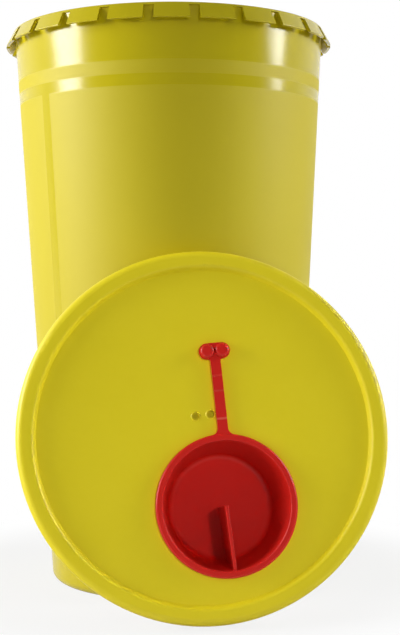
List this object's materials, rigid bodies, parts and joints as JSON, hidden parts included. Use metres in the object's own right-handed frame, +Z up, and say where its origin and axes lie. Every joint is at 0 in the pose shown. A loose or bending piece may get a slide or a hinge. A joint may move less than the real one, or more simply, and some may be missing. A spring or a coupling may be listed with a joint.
{
  "type": "sharps bin",
  "caption": "Tapered round tub with a flared, slotted snap rim, its lid leaning against the front, and a hinged cup-shaped plug strapped into the lid's aperture.",
  "frame": {"origin": "centre of the tub's foot, on the surface that the bin stands on", "axes": "+Z up along the tub's axis, -Y towards the lid and the viewer, +X to the viewer's right"},
  "size_m": [0.1441, 0.1578, 0.2206],
  "materials": {
    "tub_plastic": "gloss, with satin bands where the print was",
    "lid_plastic": "satin",
    "closure_plastic": "semi-gloss"
  },
  "bodies": {
    "bin": {"tub": "tub_plastic", "lid": "lid_plastic", "closure_anchor": "closure_plastic"},
    "strap": {"closure_strap": "closure_plastic"},
    "cap": {"closure_cap": "closure_plastic"}
  },
  "joints": [
    {"name": "strap_hinge", "type": "hinge", "parent": "bin", "child": "strap", "pos_m": [0.0175, -0.07228, 0.08653], "axis": [-0.9892, -0.1261, -0.0752], "range_deg": [0, 60]},
    {"name": "cap_hinge", "type": "hinge", "parent": "strap", "child": "cap", "pos_m": [0.01902, -0.07514, 0.07147], "axis": [-0.9892, -0.1261, -0.0752], "range_deg": [0, 120]}
  ]
}
